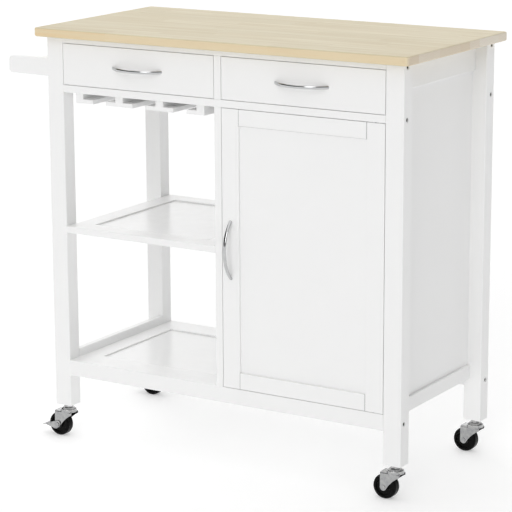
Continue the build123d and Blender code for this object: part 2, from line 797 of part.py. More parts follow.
def make_wheel(label, x_side, y_side):
    """A solid wheel with round shoulders, a dished web and a bored hub."""
    swivel_x, swivel_y = swivel_place(x_side, y_side)
    axle_x = swivel_x - caster_trail
    rim_radius = wheel_diameter / 2 - wheel_rim_depth
    web_half = wheel_width / 2 - wheel_dish
    bore = axle_radius + axle_slack
    with BuildPart() as wheel:
        with BuildSketch(Plane((axle_x, swivel_y, axle_z), x_dir=(0, 1, 0), z_dir=(1, 0, 0))) as section:
            with BuildLine():
                Polyline(
                    (0, bore),
                    (wheel_width / 2, bore),
                    (wheel_width / 2, wheel_hub_radius),
                    (web_half, wheel_hub_radius),
                    (web_half, rim_radius),
                    (wheel_width / 2, rim_radius),
                    (wheel_width / 2, wheel_diameter / 2),
                    (0, wheel_diameter / 2),
                    close=True,
                )
            make_face()
            fillet(section.vertices().group_by(Axis.Y)[-1].sort_by(Axis.X)[-1], wheel_shoulder)
            mirror(about=Plane.YZ)
        revolve(axis=Axis((axle_x, swivel_y, axle_z), (0, 1, 0)))
    save(wheel, label)


def make_brake_lever(label, x_side, y_side):
    """A toe lever: two ears outside the fork on the axle, joined by a pedal behind the wheel."""
    swivel_x, swivel_y = swivel_place(x_side, y_side)
    axle_x = swivel_x - caster_trail
    ear_inner = fork_outer_half + lever_gap
    ear_outer = ear_inner + lever_sheet
    pedal_x = axle_x - wheel_diameter / 2 - pedal_clearance
    with BuildPart() as lever:
        for ear_y in (swivel_y + ear_outer, swivel_y - ear_inner):
            with BuildSketch(Plane.XZ.offset(-ear_y)):
                with Locations((axle_x, axle_z)):
                    Circle(lever_ear_radius)
                with Locations((axle_x, axle_z)):
                    Rectangle(axle_x - pedal_x + pedal_round, lever_neck, align=(Align.MAX, Align.CENTER))
                with Locations((axle_x, axle_z)):
                    Circle(axle_radius + axle_slack, mode=Mode.SUBTRACT)
            extrude(amount=lever_sheet)
        with BuildSketch(Plane.XY.offset(axle_z - lever_neck / 2)) as pedal:
            with Locations((pedal_x, swivel_y)):
                Rectangle(pedal_length, 2 * ear_outer, align=(Align.MAX, Align.CENTER))
            fillet(pedal.vertices().group_by(Axis.X)[0], pedal_round)
        extrude(amount=lever_sheet)
    save(lever, label)


for corner, x_side, y_side in (
    ("front_left", -1, -1),
    ("front_right", 1, -1),
    ("rear_left", -1, 1),
    ("rear_right", 1, 1),
):
    braked = x_side < 0
    make_fork(f"{corner}_caster_fork", x_side, y_side, braked_axle_half if braked else plain_axle_half)
    make_wheel(f"{corner}_caster_wheel", x_side, y_side)
    if braked:
        make_brake_lever(f"{corner}_brake_lever", x_side, y_side)
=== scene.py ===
# %% [markdown]
# # A white kitchen cart with a glued wood top
# The cart is a painted wooden frame on four casters, with two drawers, a cupboard, two open shelves,
# a rack for stemware, a towel rail and a worktop of glued staves.
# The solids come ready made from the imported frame, one object for each piece of wood or metal.
# This lesson gives each of them its finish, and sets up a camera, a floor and soft light.
# It also draws the small pieces that are easier to write as surfaces than to cut in a solid:
# bolts with sockets, domed handles, rolled rims and brake levers on the casters, screws, poles and pins.

# %% Load the solids
import math

import bpy
import numpy as np
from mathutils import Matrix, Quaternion, Vector


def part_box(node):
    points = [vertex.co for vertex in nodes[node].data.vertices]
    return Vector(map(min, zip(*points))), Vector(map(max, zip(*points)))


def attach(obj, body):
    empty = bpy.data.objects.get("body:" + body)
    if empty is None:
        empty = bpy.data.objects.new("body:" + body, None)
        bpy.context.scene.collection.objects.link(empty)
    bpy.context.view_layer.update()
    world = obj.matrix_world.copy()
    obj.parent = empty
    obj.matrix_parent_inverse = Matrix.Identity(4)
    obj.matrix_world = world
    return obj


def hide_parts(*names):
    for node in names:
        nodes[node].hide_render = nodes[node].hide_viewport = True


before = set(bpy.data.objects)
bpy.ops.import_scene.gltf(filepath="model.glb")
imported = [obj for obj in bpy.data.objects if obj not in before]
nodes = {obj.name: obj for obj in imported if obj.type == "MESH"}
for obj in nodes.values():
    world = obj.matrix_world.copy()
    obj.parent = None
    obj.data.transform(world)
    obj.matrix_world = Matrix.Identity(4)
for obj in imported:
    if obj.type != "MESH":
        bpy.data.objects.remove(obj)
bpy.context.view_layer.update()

MM = 0.001

# %% [markdown]
# ## The camera
# The photograph looks at the cart from the front right and a little from above, through a long lens,
# so that its parallel edges stay almost parallel.
# A camera can be turned by hand until the picture looks right.
# Here the angles, the distance and the lens were worked out from the places of the legs, rails and casters
# in the photograph, and are kept as numbers.

# %% Camera
look_at = Vector((45.3, -49.8, 414.6)) * MM
camera_distance = 4510.8 * MM
camera_turn = math.radians(31.9)
camera_drop = math.radians(13.19)
camera_roll = math.radians(-0.27)
sight = Vector((
    -math.sin(camera_turn) * math.cos(camera_drop),
    math.cos(camera_turn) * math.cos(camera_drop),
    -math.sin(camera_drop),
))
camera = bpy.data.objects.new("cart_camera", bpy.data.cameras.new("cart_camera"))
bpy.context.scene.collection.objects.link(camera)
bpy.context.scene.camera = camera
camera.data.sensor_width = 36
camera.data.lens = 155.6
camera.location = look_at - sight * camera_distance
camera.rotation_mode = "QUATERNION"
camera.rotation_quaternion = sight.to_track_quat("-Z", "Y") @ Quaternion((0, 0, 1), camera_roll)
print("camera at", [round(v, 3) for v in camera.location])

# %% [markdown]
# ## Building with nodes
# Every finish below is a small graph of nodes: a pattern is worked out from the place of a point
# on the cart, and then drives colour, roughness or bump.
# Adding nodes one line at a time is slow to read,
# so these helpers add a node, fill its sockets and link it in one call.
# A value that is the same all over a surface is set straight on the shader's own socket.


# %% Helpers for node graphs
def add_node(tree, kind, sockets=None, **settings):
    """One node with its settings; each socket is set to a value or linked to another node's output."""
    node = tree.nodes.new("ShaderNode" + kind)
    for name, value in settings.items():
        setattr(node, name, value)
    for name, value in (sockets or {}).items():
        if isinstance(value, bpy.types.NodeSocket):
            tree.links.new(value, node.inputs[name])
        else:
            node.inputs[name].default_value = value
    return node


def drawn_out(tree, place, stretch):
    """A place multiplied along each axis; a pattern is drawn out along the axis with the smallest factor."""
    return add_node(tree, "Mapping", {"Vector": place, "Scale": stretch}).outputs["Vector"]


def place_on_cart(tree, stretch=(1, 1, 1)):
    """A point's place in metres, drawn out along a board if a stretch is given."""
    return drawn_out(tree, add_node(tree, "TexCoord").outputs["Object"], stretch)


def cloudy(tree, place, scale, detail=3.0):
    """Soft random values from 0 to 1, with features of about 1 / scale metres."""
    sockets = {"Vector": place, "Scale": scale, "Detail": detail}
    return add_node(tree, "TexNoise", sockets).outputs["Fac"]


def sums(tree, operation, first, second=0.0, third=0.0):
    """One step of arithmetic on values."""
    return add_node(tree, "Math", {0: first, 1: second, 2: third}, operation=operation).outputs[0]


def vector_sums(tree, operation, first, second):
    """One step of arithmetic on places or colours, axis by axis."""
    return add_node(tree, "VectorMath", {0: first, 1: second}, operation=operation).outputs[0]


def spread(tree, value, low, high, to_low, to_high):
    """The value moved from one range to another, and held at its ends."""
    sockets = {"Value": value, "From Min": low, "From Max": high, "To Min": to_low, "To Max": to_high}
    return add_node(tree, "MapRange", sockets).outputs["Result"]


def between(tree, share, first, second):
    """A colour between two others: the first where share is 0, the second where it is 1."""
    sockets = {0: share, 6: first, 7: second}
    return add_node(tree, "Mix", sockets, data_type="RGBA").outputs[2]


def relief(tree, height, depth):
    """A normal for a surface that rises and falls by up to depth metres as height goes from 0 to 1."""
    return add_node(tree, "Bump", {"Height": height, "Distance": depth}).outputs["Normal"]


def start_finish(name, **constants):
    """A new material with its node tree and main shader; constants are set on the shader's sockets."""
    material = bpy.data.materials.new(name)
    material.use_nodes = True
    tree = material.node_tree
    shader = tree.nodes["Principled BSDF"]
    for socket, value in constants.items():
        shader.inputs[socket.replace("_", " ")].default_value = value
    return material, tree, shader


def connect(tree, shader, **patterns):
    """Link worked-out patterns to the shader's sockets."""
    for socket, output in patterns.items():
        tree.links.new(output, shader.inputs[socket.replace("_", " ")])


print("node helpers are ready")

# %% [markdown]
# ## Floor and light
# The photograph is a studio picture: a white ground, broad light from the front and above,
# hardly any shadow.
# Several lamps could do this. One sun with a wide disc, low in front, lights the cart and the whole floor
# alike, and the sky fills in the rest. The floor glows a little, like a light table,
# so the ground stays white to the edge of the picture and the shadow under the cart stays faint.
# The sky is not one flat white. It is brighter overhead,
# and a window at the left sends light in over the shelves.
# A grey curtain at the right rear turns the cart's right side a little greyer,
# and two low black flags in front give the chrome of the handles dark streaks to mirror,
# with a bright gap between.

# %% Floor
FLOOR_HALF = 60.0
FLOOR_DARK = (0.74, 0.74, 0.74, 1)
FLOOR_LIGHT = (0.75, 0.75, 0.75, 1)
FLOOR_CLOUD_SCALE = 1.5


def pale_floor():
    """A flat square far larger than the cart, matt white with a faint cloudiness and a glow of its own."""
    near, far = -FLOOR_HALF, FLOOR_HALF
    mesh = bpy.data.meshes.new("studio_floor")
    mesh.from_pydata([(near, near, 0), (far, near, 0), (far, far, 0), (near, far, 0)], [], [(0, 1, 2, 3)])
    floor = bpy.data.objects.new("studio_floor", mesh)
    bpy.context.scene.collection.objects.link(floor)
    material, tree, shader = start_finish(
        "studio_floor_white", Roughness=0.9, Emission_Color=(1, 1, 1, 1), Emission_Strength=0.36,
    )
    cloud = cloudy(tree, place_on_cart(tree), FLOOR_CLOUD_SCALE)
    connect(tree, shader, Base_Color=between(tree, cloud, FLOOR_DARK, FLOOR_LIGHT))
    mesh.materials.append(material)
    return floor


floor = pale_floor()
print("floor:", floor.name)

# %% Sky
# Each way points from the cart to the middle of a thing. The pair beside it holds two cosines:
# the thing is absent at the first, and full at the second.
CURTAIN_WAY, CURTAIN_EDGE = (0.83, 0.48, 0.28), (0.2, 0.9)
LEFT_FLAG_WAY, LEFT_FLAG_EDGE = (-0.87, -0.50, 0.0), (0.50, 0.56)
RIGHT_FLAG_WAY, RIGHT_FLAG_EDGE = (0.67, -0.74, 0.0), (0.86, 0.91)
WINDOW_WAY, WINDOW_EDGE = (-0.85, 0.50, 0.15), (0.4, 0.85)
# These pairs are heights in the sky, from 0 at the horizon to 1 overhead.
FLAG_FOOT, FLAG_TOP, OVERHEAD_EDGE = (0.03, 0.06), (0.50, 0.60), (0.55, 0.95)
WINDOW_GAIN, OVERHEAD_GAIN = 1.4, 1.3
SKY_WHITE, CURTAIN_GREY, FLAG_BLACK = (1.0, 1.0, 1.0, 1), (0.31, 0.31, 0.31, 1), (0.03, 0.03, 0.03, 1)


def toward(tree, way, target):
    """How nearly a direction points at a target: the cosine of the angle between them."""
    return add_node(tree, "VectorMath", {0: way, 1: target}, operation="DOT_PRODUCT").outputs["Value"]


def studio_sky(strength):
    """White light from all round, less a curtain and two flags, times the gains of window and overhead."""
    world = bpy.data.worlds.new("studio_sky")
    world.use_nodes = True
    bpy.context.scene.world = world
    tree = world.node_tree
    way = add_node(tree, "TexCoord").outputs["Generated"]
    height = add_node(tree, "SeparateXYZ", {0: way}).outputs["Z"]
    curtain = spread(tree, toward(tree, way, CURTAIN_WAY), *CURTAIN_EDGE, 0.0, 1.0)
    curtained = between(tree, curtain, SKY_WHITE, CURTAIN_GREY)
    above_foot = spread(tree, height, *FLAG_FOOT, 0.0, 1.0)
    below_top = spread(tree, height, *FLAG_TOP, 1.0, 0.0)
    left_flag = spread(tree, toward(tree, way, LEFT_FLAG_WAY), *LEFT_FLAG_EDGE, 0.0, 1.0)
    right_flag = spread(tree, toward(tree, way, RIGHT_FLAG_WAY), *RIGHT_FLAG_EDGE, 0.0, 1.0)
    beside = sums(tree, "MAXIMUM", left_flag, right_flag)
    flag = sums(tree, "MULTIPLY", sums(tree, "MULTIPLY", above_foot, below_top), beside)
    flagged = between(tree, flag, curtained, FLAG_BLACK)
    overhead = spread(tree, height, *OVERHEAD_EDGE, 1.0, OVERHEAD_GAIN)
    window = spread(tree, toward(tree, way, WINDOW_WAY), *WINDOW_EDGE, 1.0, WINDOW_GAIN)
    gain = sums(tree, "MULTIPLY", overhead, window)
    lifted = add_node(tree, "VectorMath", {0: flagged, "Scale": gain}, operation="SCALE").outputs[0]
    tree.links.new(lifted, tree.nodes["Background"].inputs["Color"])
    tree.nodes["Background"].inputs["Strength"].default_value = strength


studio_sky(strength=0.94)
print("sky:", bpy.context.scene.world.name)

# %% [markdown]
# ### The sun
# A photographer would put a large soft box in front of the cart, a little to the right and above it.
# A sun lamp lights the floor alike as far as it goes,
# and its wide disc makes the shadows as soft as those of a box.


# %% Sun
def wide_sun(strength, disc, turn, height):
    """A sun with a wide disc; turn counts degrees from the front to the right, height from the horizon."""
    lamp = bpy.data.lights.new("wide_sun", "SUN")
    lamp.energy = strength
    lamp.angle = math.radians(disc)
    sun = bpy.data.objects.new("wide_sun", lamp)
    bpy.context.scene.collection.objects.link(sun)
    side, rise = math.radians(turn), math.radians(height)
    to_sun = Vector((math.sin(side) * math.cos(rise), -math.cos(side) * math.cos(rise), math.sin(rise)))
    sun.rotation_mode = "QUATERNION"
    sun.rotation_quaternion = (-to_sun).to_track_quat("-Z", "Y")


wide_sun(strength=0.50, disc=30, turn=12, height=26)
bpy.context.scene.view_settings.view_transform = "Standard"
print("light is set")

# %% [markdown]
# ## White satin paint
# Nearly every piece is wood under white satin paint. Sprayed paint is never quite flat:
# it dries with a fine orange-peel texture, the grain of solid wood telegraphs through it
# as faint long ridges, and its tone and gloss wander a little.
# A plain white would look like plastic, so four patterns are worked out from the place on the cart.
# The grain is drawn out along the board, so there is one paint for each direction that boards run in.
# On the door the paint has opened to hairlines where the rails meet the stiles,
# and a line of painted shade runs along the top rail just above the panel's upper edge, where the rail steps
# down to it.
# So the rails get a paint of their own, with dark lines at those places.

# %% Paint
PAINT_DARK = (0.925, 0.925, 0.922, 1)
PAINT_LIGHT = (0.945, 0.945, 0.942, 1)
PEEL_SCALE, CLOUD_SCALE, SMEAR_SCALE = 480, 9, 38
PAINT_RELIEF, GLOSS_WANDER = 0.06 * MM, 0.05
# Grey of the dark lines: the joints of the door, and a line of painted shade under its top rail.
JOINT_AND_SHADE_GREY, LINE_CORE = (0.22, 0.22, 0.215, 1), 0.6
# Cloudy values hardly ever leave this range.
CLOUD_RANGE = (0.3, 0.7)


def joint_and_shade_lines(tree, joint_and_shade_marks):
    """1 on any line, 0 elsewhere; a line is an axis, a place on it and half its width. Some lines are dark
    joints, others painted shade.
    """
    axes = add_node(tree, "SeparateXYZ", {0: place_on_cart(tree)})
    lines = 0.0
    for axis, place, half in joint_and_shade_marks:
        distance = sums(tree, "ABSOLUTE", sums(tree, "SUBTRACT", axes.outputs[axis], place))
        lines = sums(tree, "MAXIMUM", lines, spread(tree, distance, LINE_CORE * half, half, 1.0, 0.0))
    return lines


def satin_paint(name, stretch, grain_share, rough, shine=0.5, joint_and_shade_marks=()):
    """Orange peel of about 2 mm plus grain ridges as bump, cloudiness as tone and gloss, and dark lines:
    joints, and painted shade.
    """
    material, tree, shader = start_finish(
        name, Coat_Weight=0.12, Coat_Roughness=0.25, Specular_IOR_Level=shine,
    )
    place = place_on_cart(tree)
    peel = cloudy(tree, place, PEEL_SCALE, 2)
    grain = cloudy(tree, place_on_cart(tree, stretch), 1.0, 4)
    height = sums(tree, "MULTIPLY_ADD", grain, grain_share, peel)
    cloud = cloudy(tree, place, CLOUD_SCALE)
    smear = cloudy(tree, place, SMEAR_SCALE, 4)
    colour = between(tree, cloud, PAINT_DARK, PAINT_LIGHT)
    if joint_and_shade_marks:
        colour = between(tree, joint_and_shade_lines(tree, joint_and_shade_marks), colour, JOINT_AND_SHADE_GREY)
    connect(
        tree, shader,
        Base_Color=colour,
        Roughness=spread(tree, smear, *CLOUD_RANGE, rough - GLOSS_WANDER, rough + GLOSS_WANDER),
        Normal=relief(tree, height, PAINT_RELIEF),
    )
    return material


print("paint recipe is ready")

# %% [markdown]
# ### Paint for boards, panels and drawer boxes
# Rails, legs and stiles are solid wood, so their paint shows grain along the board.
# The large panels are smooth board under the same paint, the shelf panels are glossier,
# and the drawer boxes have a duller white film.
# They could be copies of one material with changed nodes. One recipe with other numbers keeps them akin.

# %% Paints
ALONG_X, ALONG_Y, ALONG_Z = (4, 90, 90), (90, 4, 90), (90, 90, 4)
WOOD_GRAIN, SATIN = 1.6, 0.36
DOOR_STILE, DOOR_RAIL = 39 * MM, 33 * MM
# Half widths of the joint lines and of the painted shade line under the top rail, and how far above the
# rail's lower edge that shade line lies.
JOINT_SEAM, SHADE_LINE_HALF, SHADE_LINE_LIFT = 0.72 * MM, 0.22 * MM, 0.5 * MM
paint_along_x = satin_paint("satin_paint_along_x", ALONG_X, WOOD_GRAIN, SATIN)
paint_along_y = satin_paint("satin_paint_along_y", ALONG_Y, WOOD_GRAIN, SATIN)
paint_along_z = satin_paint("satin_paint_along_z", ALONG_Z, WOOD_GRAIN, SATIN)
door_low, door_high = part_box("door_stiles")
door_joints_and_shade_line = [
    ("X", door_low.x + DOOR_STILE, JOINT_SEAM),
    ("X", door_high.x - DOOR_STILE, JOINT_SEAM),
    # Painted shade, not a joint: a thin dark line on the top rail just above its lower edge, where the rail
    # steps down to the recessed panel.
    ("Z", door_high.z - DOOR_RAIL + SHADE_LINE_LIFT, SHADE_LINE_HALF),
]
door_rail_paint = satin_paint("satin_paint_door_rails", ALONG_X, WOOD_GRAIN, SATIN, joint_and_shade_marks=door_joints_and_shade_line)
painted_board = satin_paint("satin_painted_board", (30, 30, 30), grain_share=0.3, rough=0.33)
glossy_panel = satin_paint("glossy_shelf_panel", (12, 12, 12), grain_share=0.2, rough=0.19, shine=0.2)
drawer_film = satin_paint("drawer_box_film", (25, 25, 25), grain_share=0.5, rough=0.45)
print("paints:", [material.name for material in bpy.data.materials if "paint" in material.name])

# %% [markdown]
# ## The worktop
# The top is a slab of pale staves, each about 42 mm wide, glued edge to edge and end to end,
# and sanded flat.
# A stave has its own tint and its own run of grain, the glue line between two staves is a hair darker,
# and the two ends of the slab show the cut ends of the fibres.
# An image of wood would repeat and is not allowed here, so the staves are counted out with arithmetic:
# the row comes from the place across the slab, and the stave from the place along it,
# shifted by a random amount in each row.

# %% Staves
STAVE_WIDTH = 42.2 * MM
STAVE_LENGTH = 380 * MM
FIRST_GLUE_LINE = 2.5 * MM


def staves(tree):
    """For each point: its axes, random values that are the same all over its stave,
    its place across the stave, and how near the next glue line is."""
    axes = add_node(tree, "SeparateXYZ", {0: place_on_cart(tree)})
    across = sums(tree, "DIVIDE", sums(tree, "ADD", axes.outputs["Y"], -FIRST_GLUE_LINE), STAVE_WIDTH)
    row = sums(tree, "FLOOR", across)
    shift = add_node(tree, "TexWhiteNoise", {"W": row}, noise_dimensions="1D").outputs["Value"]
    along = sums(tree, "ADD", sums(tree, "DIVIDE", axes.outputs["X"], STAVE_LENGTH), shift)
    count = sums(tree, "FLOOR", along)
    key = add_node(tree, "CombineXYZ", {"X": row, "Y": count}).outputs["Vector"]
    chance = add_node(tree, "TexWhiteNoise", {"Vector": key}, noise_dimensions="2D")
    side_gap = sums(tree, "MULTIPLY", sums(tree, "PINGPONG", across, 0.5), STAVE_WIDTH)
    end_gap = sums(tree, "MULTIPLY", sums(tree, "PINGPONG", along, 0.5), STAVE_LENGTH)
    inside = sums(tree, "MULTIPLY", sums(tree, "FRACT", across), STAVE_WIDTH)
    return axes, chance, inside, sums(tree, "MINIMUM", side_gap, end_gap)


print("staves of", round(STAVE_WIDTH / MM, 1), "by", round(STAVE_LENGTH / MM), "mm")

# %% [markdown]
# ### Sanded faces
# The wide face of a stave shows long soft streaks and short fine pores, and at its edge the glue.
# The streaks and pores are noise and the glue is a distance,
# laid over the stave's tint one after the other, as stain would be.

# %% Grain, pores and glue lines
STAVE_DEEP, STAVE_PALE = (0.672, 0.590, 0.385, 1), (0.713, 0.627, 0.42, 1)
GRAIN_BROWN, PORE_BROWN = (0.585, 0.467, 0.272, 1), (0.40, 0.29, 0.17, 1)
GLUE_BROWN = (0.45, 0.34, 0.20, 1)
STREAK_STRETCH, PORE_STRETCH = (3.5, 70, 70), (45, 900, 900)
STREAK_RANGE, PORE_RANGE, GLUE_EDGE = (0.35, 0.7), (0.60, 0.72), (0.2 * MM, 0.7 * MM)
STREAK_SHARE, PORE_SHARE, GLUE_SHARE = 0.55, 0.22, 0.35
PORE_DEPTH, GLUE_DEPTH = 0.6, 2.0


def sanded_faces(tree, own, draw, gap):
    """Colour, streaks and height: long grain over a tint drawn for the stave,
    with fine dark pores and a thin glue line."""
    streak = cloudy(tree, drawn_out(tree, own, STREAK_STRETCH), 1.0, 5)
    pore = spread(tree, cloudy(tree, drawn_out(tree, own, PORE_STRETCH), 1.0, 2), *PORE_RANGE, 0.0, 1.0)
    tint = between(tree, draw, STAVE_DEEP, STAVE_PALE)
    grained = between(tree, spread(tree, streak, *STREAK_RANGE, 0.0, STREAK_SHARE), tint, GRAIN_BROWN)
    pored = between(tree, sums(tree, "MULTIPLY", pore, PORE_SHARE), grained, PORE_BROWN)
    glue = spread(tree, gap, *GLUE_EDGE, GLUE_SHARE, 0.0)
    hollow = sums(tree, "MULTIPLY_ADD", pore, PORE_DEPTH, sums(tree, "MULTIPLY", glue, GLUE_DEPTH))
    return between(tree, glue, pored, GLUE_BROWN), streak, sums(tree, "SUBTRACT", streak, hollow)


print("faces of the staves are ready")

# %% [markdown]
# ### Sawn ends
# Where the slab is sawn across, each stave shows arcs of its year rings, and no two staves match.
# Each end could be drawn by hand.
# A wave in rings round a heart that is drawn by lot for each stave gives them all at once.

# %% Rings on the sawn ends
END_DEEP, END_PALE = (0.74, 0.63, 0.47, 1), (0.86, 0.81, 0.71, 1)
RING_BROWN, RING_SHARE = (0.64, 0.48, 0.31, 1), 0.35
# Added to a place to count from the heart of the tree, which lies somewhere else for each stave.
HEART_ASIDE, HEART_BELOW = (-50 * MM, 10 * MM), (-840 * MM, -800 * MM)


def sawn_ends(tree, axes, chance, inside):
    """Year rings as waves round the heart of the tree, over a tint drawn for the stave."""
    draw = add_node(tree, "SeparateXYZ", {0: chance.outputs["Color"]})
    from_heart = sums(tree, "ADD", inside, spread(tree, draw.outputs["X"], 0.0, 1.0, *HEART_ASIDE))
    drop = spread(tree, draw.outputs["Y"], 0.0, 1.0, *HEART_BELOW)
    above_heart = sums(tree, "ADD", axes.outputs["Z"], drop)
    ring_way = add_node(tree, "CombineXYZ", {"Y": from_heart, "Z": above_heart}).outputs["Vector"]
    rings = add_node(
        tree, "TexWave",
        {"Vector": ring_way, "Scale": 110, "Distortion": 1.2, "Detail": 2, "Detail Scale": 1.2},
        wave_type="RINGS", rings_direction="X",
    ).outputs["Fac"]
    end_tint = between(tree, chance.outputs["Value"], END_DEEP, END_PALE)
    return between(tree, sums(tree, "MULTIPLY", rings, RING_SHARE), end_tint, RING_BROWN)


print("ends of the staves are ready")

# %% [markdown]
# ### One finish for the slab
# Top, long edges and ends could be three materials on three sets of faces.
# The solid has no such sets, so the finish looks at which way the surface faces, and blends the three.
# The long edges are painted lighter and warmer than the top, standing in for the greyer look the top takes
# where it mirrors the sky, and they are more streaked.

# %% The whole slab
# Painted light: this tint is screened over the long edges to make them lighter and warmer than the top,
# which looks greyer where it mirrors the sky.
PAINTED_EDGE_WARMTH, EDGE_STREAK = (0.515, 0.345, 0.195, 1), (0.80, 0.60, 0.34, 1)
EDGE_STRETCH, EDGE_RANGE, EDGE_SHARE = (2.6, 20, 130), (0.48, 0.68), 0.7
FACING_END, FACING_UP = (0.45, 0.85), (0.25, 0.75)
OWN_GRAIN_JUMP = (7, 5, 3)
WOOD_RELIEF, WOOD_ROUGHNESS = 0.08 * MM, (0.40, 0.52)


def glued_staves():
    """Top, long edges and sawn ends in one finish, told apart by which way the surface faces."""
    material, tree, shader = start_finish("glued_staves", Coat_Weight=0.1, Coat_Roughness=0.35)
    axes, chance, inside, gap = staves(tree)
    jump = vector_sums(tree, "MULTIPLY", chance.outputs["Color"], OWN_GRAIN_JUMP)
    own = vector_sums(tree, "ADD", place_on_cart(tree), jump)
    flat_wood, streak, height = sanded_faces(tree, own, chance.outputs["Value"], gap)
    facing = add_node(tree, "SeparateXYZ", {0: add_node(tree, "NewGeometry").outputs["Normal"]})
    sawn = spread(tree, sums(tree, "ABSOLUTE", facing.outputs["X"]), *FACING_END, 0.0, 1.0)
    upright = spread(tree, sums(tree, "ABSOLUTE", facing.outputs["Z"]), *FACING_UP, 1.0, 0.0)
    # Painted light: the long edges are lightened and warmed by the screened tint.
    painted_warm_edges = add_node(
        tree, "Mix", {0: upright, 6: flat_wood, 7: PAINTED_EDGE_WARMTH}, data_type="RGBA", blend_type="SCREEN",
    ).outputs[2]
    edge_cloud = cloudy(tree, drawn_out(tree, own, EDGE_STRETCH), 1.0, 4)
    edge_grain = spread(tree, edge_cloud, *EDGE_RANGE, 0.0, EDGE_SHARE)
    edged = between(tree, sums(tree, "MULTIPLY", edge_grain, upright), painted_warm_edges, EDGE_STREAK)
    connect(
        tree, shader,
        Base_Color=between(tree, sawn, edged, sawn_ends(tree, axes, chance, inside)),
        Roughness=spread(tree, streak, *CLOUD_RANGE, *WOOD_ROUGHNESS),
        Normal=relief(tree, height, WOOD_RELIEF),
    )
    return material


worktop_wood = glued_staves()
print("worktop:", worktop_wood.name)

# %% [markdown]
# ## Metals
# There are three: the bright chrome of the bow handles, the zinc of the casters, pins and plates,
# and the dark oxide of the bolt heads. The zinc is even and dull on most pieces. On the caster stems it is
# blotchy and darker, the dark partly painted shade where the stem meets the leg; on the rolled rims it is
# lighter and smoother, a painted highlight.
# All are the same metal shader. What sets them apart is how smooth they are
# and how their gloss is broken up: hardly at all on chrome, by soft clouds and a fine unevenness on zinc,
# and by a dull grain on the black of the bolts.

# %% Chrome, zinc and dark bolts
FINE_PER_CLOUD = 9


def plated_metal(name, dark, light, rough_low, rough_high, cloud_scale, depth):
    """Metal between two tones; a cloudy pattern moves its tone and gloss, and a finer one its surface."""
    material, tree, shader = start_finish(name, Metallic=1.0)
    place = place_on_cart(tree)
    cloud = cloudy(tree, place, cloud_scale, 4)
    fine = cloudy(tree, place, cloud_scale * FINE_PER_CLOUD, 3)
    connect(
        tree, shader,
        Base_Color=between(tree, spread(tree, cloud, *CLOUD_RANGE, 0.0, 1.0), dark, light),
        Roughness=spread(tree, cloud, *CLOUD_RANGE, rough_low, rough_high),
        Normal=relief(tree, fine, depth),
    )
    return material


chrome = plated_metal(
    "handle_chrome", dark=(0.50, 0.505, 0.51, 1), light=(0.58, 0.585, 0.59, 1),
    rough_low=0.03, rough_high=0.08, cloud_scale=60, depth=0.003 * MM,
)
zinc = plated_metal(
    "caster_zinc", dark=(0.34, 0.345, 0.355, 1), light=(0.47, 0.47, 0.465, 1),
    rough_low=0.12, rough_high=0.26, cloud_scale=130, depth=0.012 * MM,
)
# Lighter, smoother zinc for the rolled rims: a painted highlight.
rim_zinc = plated_metal(
    "rim_zinc", dark=(0.50, 0.50, 0.51, 1), light=(0.80, 0.80, 0.79, 1),
    rough_low=0.08, rough_high=0.18, cloud_scale=130, depth=0.01 * MM,
)
# Darker, blotchy zinc for the stems: the blotches are random tone, and the dark is partly painted shade
# where the stem meets the leg.
stem_zinc = plated_metal(
    "stem_zinc", dark=(0.26, 0.26, 0.27, 1), light=(0.60, 0.60, 0.59, 1),
    rough_low=0.06, rough_high=0.16, cloud_scale=260, depth=0.01 * MM,
)
bolt_black = plated_metal(
    "bolt_oxide", dark=(0.012, 0.012, 0.013, 1), light=(0.03, 0.03, 0.032, 1),
    rough_low=0.45, rough_high=0.6, cloud_scale=400, depth=0.03 * MM,
)
print("metals:", [metal.name for metal in (chrome, zinc, rim_zinc, stem_zinc, bolt_black)])

# %% [markdown]
# ## Wheels and catch
# The wheels are moulded in one piece of deep black plastic, half glossy when new.
# The catch is a small white plastic housing.
# Both come out of a mould, so they share one recipe:
# a fine grain as bump, and a cloudiness that moves tone and gloss.

# %% Moulded plastics
MOULD_GRAIN_SCALE, MOULD_GRAIN_DEPTH = 1400, 0.03 * MM
MOULD_CLOUD_SCALE, MOULD_TONE_RANGE = 70, (0.35, 0.75)


def moulded_plastic(name, dark, light, rough_low, rough_high, shine):
    """Even plastic with a fine moulded grain; a cloudy pattern moves its tone and gloss."""
    material, tree, shader = start_finish(name, Specular_IOR_Level=shine)
    place = place_on_cart(tree)
    cloud = cloudy(tree, place, MOULD_CLOUD_SCALE, 4)
    connect(
        tree, shader,
        Base_Color=between(tree, spread(tree, cloud, *MOULD_TONE_RANGE, 0.0, 1.0), dark, light),
        Roughness=spread(tree, cloud, *CLOUD_RANGE, rough_low, rough_high),
        Normal=relief(tree, cloudy(tree, place, MOULD_GRAIN_SCALE, 2), MOULD_GRAIN_DEPTH),
    )
    return material


wheel_black = moulded_plastic(
    "wheel_black", dark=(0.002, 0.002, 0.002, 1), light=(0.006, 0.006, 0.006, 1),
    rough_low=0.22, rough_high=0.38, shine=0.09,
)
catch_white = moulded_plastic(
    "catch_white", dark=(0.74, 0.74, 0.72, 1), light=(0.80, 0.80, 0.78, 1),
    rough_low=0.35, rough_high=0.5, shine=0.5,
)
print("plastics:", wheel_black.name, catch_white.name)

# %% [markdown]
# ## Dress the solids
# Each solid keeps its shape and gets one of the finishes, chosen by what it is and which way its wood runs.
# The lists are written out by name, so that a piece can be moved from one finish to another at a glance,
# and the last line shows whether any was forgotten.

